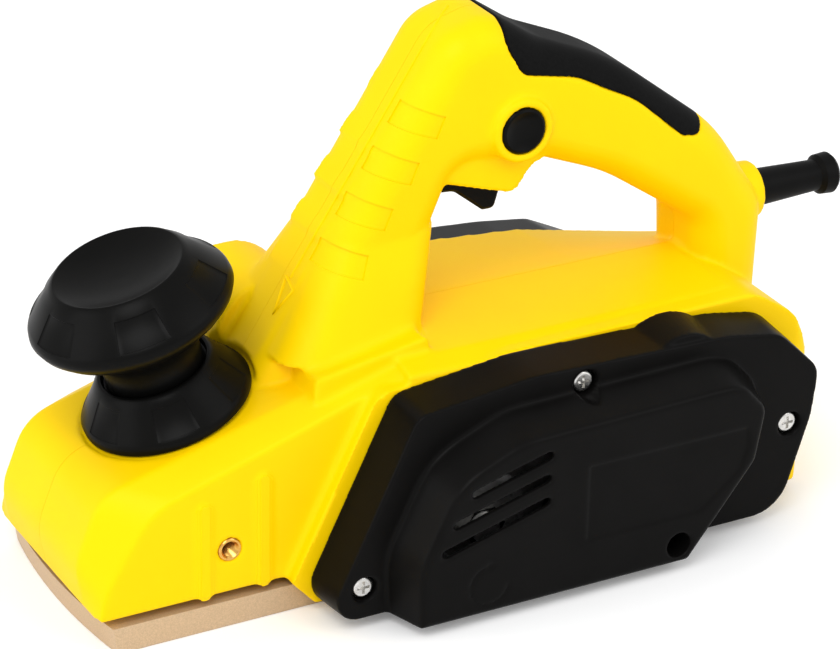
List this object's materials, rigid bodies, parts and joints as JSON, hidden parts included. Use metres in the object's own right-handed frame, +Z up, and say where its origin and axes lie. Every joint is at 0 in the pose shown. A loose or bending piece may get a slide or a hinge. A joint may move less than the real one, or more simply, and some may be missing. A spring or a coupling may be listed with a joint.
{
  "type": "electric hand planer",
  "caption": "Hand-held electric planer with a yellow shell, loop handle, black belt cover, depth knob on a sliding front shoe and a two-blade cutter drum.",
  "frame": {"origin": "on the rear sole's flat face, at its middle", "axes": "+Z up through the handle, +X to the cord end, -X the planing direction, -Y the belt side"},
  "size_m": [0.3003, 0.146, 0.1803],
  "materials": {
    "left_housing": "yellow moulded shell, satin",
    "right_housing": "yellow moulded shell, satin",
    "handle_grip": "black soft grip",
    "housing_screws": "zinc-plated screws",
    "guide_inserts": "turned brass, threaded",
    "front_shoe": "cast and machined, warm grey",
    "shoe_nut": "hex nut",
    "shoe_spring": "spring wire",
    "rear_sole": "machined plate",
    "sole_screws": "countersunk screws",
    "depth_dial": "black moulded dial",
    "front_knob": "black moulded knob, satin",
    "knob_spindle": "threaded steel rod",
    "cutter_drum": "turned drum on a steel shaft",
    "cutter_blades": "ground steel blades",
    "blade_clamps": "clamp bars",
    "blade_screws": "black oxide screws",
    "drum_pulley": "turned pulley",
    "drum_nut": "hex nut",
    "drum_bearing_left": "ball bearing with seals",
    "drum_bearing_right": "ball bearing with seals",
    "motor_bearing_left": "ball bearing with seals",
    "motor_bearing_right": "ball bearing with seals",
    "bearing_plate": "die-cast plate",
    "plate_screws": "countersunk screws",
    "armature_shaft": "ground shaft",
    "armature_core": "stacked laminations",
    "armature_windings": "varnished copper windings",
    "commutator": "copper bars",
    "motor_fan": "black moulded fan",
    "motor_pulley": "pulley",
    "stator_core": "stacked laminations",
    "field_coils": "varnished copper coils",
    "brush_holders": "folded brass",
    "carbon_brushes": "carbon",
    "brush_springs": "spring wire",
    "drive_belt": "black belt",
    "belt_cover": "black moulded cover, fine texture",
    "belt_cover_screws": "zinc-plated cross-head screws",
    "motor_cover": "black moulded cover, fine texture",
    "motor_cover_screws": "zinc-plated cross-head screws",
    "switch_body": "black switch box",
    "trigger": "black trigger",
    "trigger_spring": "spring wire",
    "lock_button": "black button",
    "lock_spring": "spring wire",
    "capacitor": "moulded capacitor",
    "cord_guard": "black rubber sleeve",
    "cord_clamp": "clamp bar",
    "clamp_screws": "screws"
  },
  "bodies": {
    "body": {"left_housing": "left_housing", "right_housing": "right_housing", "handle_grip": "handle_grip", "housing_screws": "housing_screws", "guide_inserts": "guide_inserts", "shoe_spring": "shoe_spring", "rear_sole": "rear_sole", "sole_screws": "sole_screws", "drum_bearing_left": "drum_bearing_left", "drum_bearing_right": "drum_bearing_right", "motor_bearing_left": "motor_bearing_left", "motor_bearing_right": "motor_bearing_right", "bearing_plate": "bearing_plate", "plate_screws": "plate_screws", "stator_core": "stator_core", "field_coils": "field_coils", "brush_holders": "brush_holders", "carbon_brushes": "carbon_brushes", "brush_springs": "brush_springs", "drive_belt": "drive_belt", "belt_cover": "belt_cover", "belt_cover_screws": "belt_cover_screws", "motor_cover": "motor_cover", "motor_cover_screws": "motor_cover_screws", "switch_body": "switch_body", "trigger_spring": "trigger_spring", "lock_spring": "lock_spring", "capacitor": "capacitor", "cord_guard": "cord_guard", "cord_clamp": "cord_clamp", "clamp_screws": "clamp_screws"},
    "shoe": {"front_shoe": "front_shoe", "shoe_nut": "shoe_nut"},
    "knob": {"front_knob": "front_knob", "depth_dial": "depth_dial", "knob_spindle": "knob_spindle"},
    "drum": {"cutter_drum": "cutter_drum", "cutter_blades": "cutter_blades", "blade_clamps": "blade_clamps", "blade_screws": "blade_screws", "drum_pulley": "drum_pulley", "drum_nut": "drum_nut"},
    "armature": {"armature_shaft": "armature_shaft", "armature_core": "armature_core", "armature_windings": "armature_windings", "commutator": "commutator", "motor_fan": "motor_fan", "motor_pulley": "motor_pulley"},
    "trigger": {"trigger": "trigger"},
    "lock_button": {"lock_button": "lock_button"}
  },
  "joints": [
    {"name": "knob_turn", "type": "hinge", "parent": "body", "child": "knob", "pos_m": [-0.1594, 0, 0.0616], "axis": [-0.309, 0, 0.9511], "range_deg": [0, 360]},
    {"name": "shoe_slide", "type": "slide", "parent": "body", "child": "shoe", "axis": [-0.309, 0, 0.9511], "range_m": [0, 0.0025], "deforming": ["shoe_spring"]},
    {"name": "drum_spin", "type": "hinge", "parent": "body", "child": "drum", "pos_m": [-0.078, 0, 0.028], "axis": [0, 1, 0], "continuous": true},
    {"name": "motor_spin", "type": "hinge", "parent": "body", "child": "armature", "pos_m": [0.02, 0, 0.044], "axis": [0, 1, 0], "continuous": true},
    {"name": "trigger_press", "type": "slide", "parent": "body", "child": "trigger", "axis": [0.05, 0, 0.9987], "range_m": [0, 0.0045], "stiffness_N_per_m": 600, "springref_m": -0.004, "deforming": ["trigger_spring"]},
    {"name": "lock_button_press", "type": "slide", "parent": "body", "child": "lock_button", "axis": [0, 1, 0], "range_m": [0, 0.003], "stiffness_N_per_m": 400, "springref_m": -0.003, "deforming": ["lock_spring"]}
  ],
  "couplings": [
    {"joint": "knob_turn", "follows": "shoe_slide", "rad_per_m": 2513.3},
    {"joint": "motor_spin", "follows": "drum_spin", "ratio": 1.8}
  ]
}
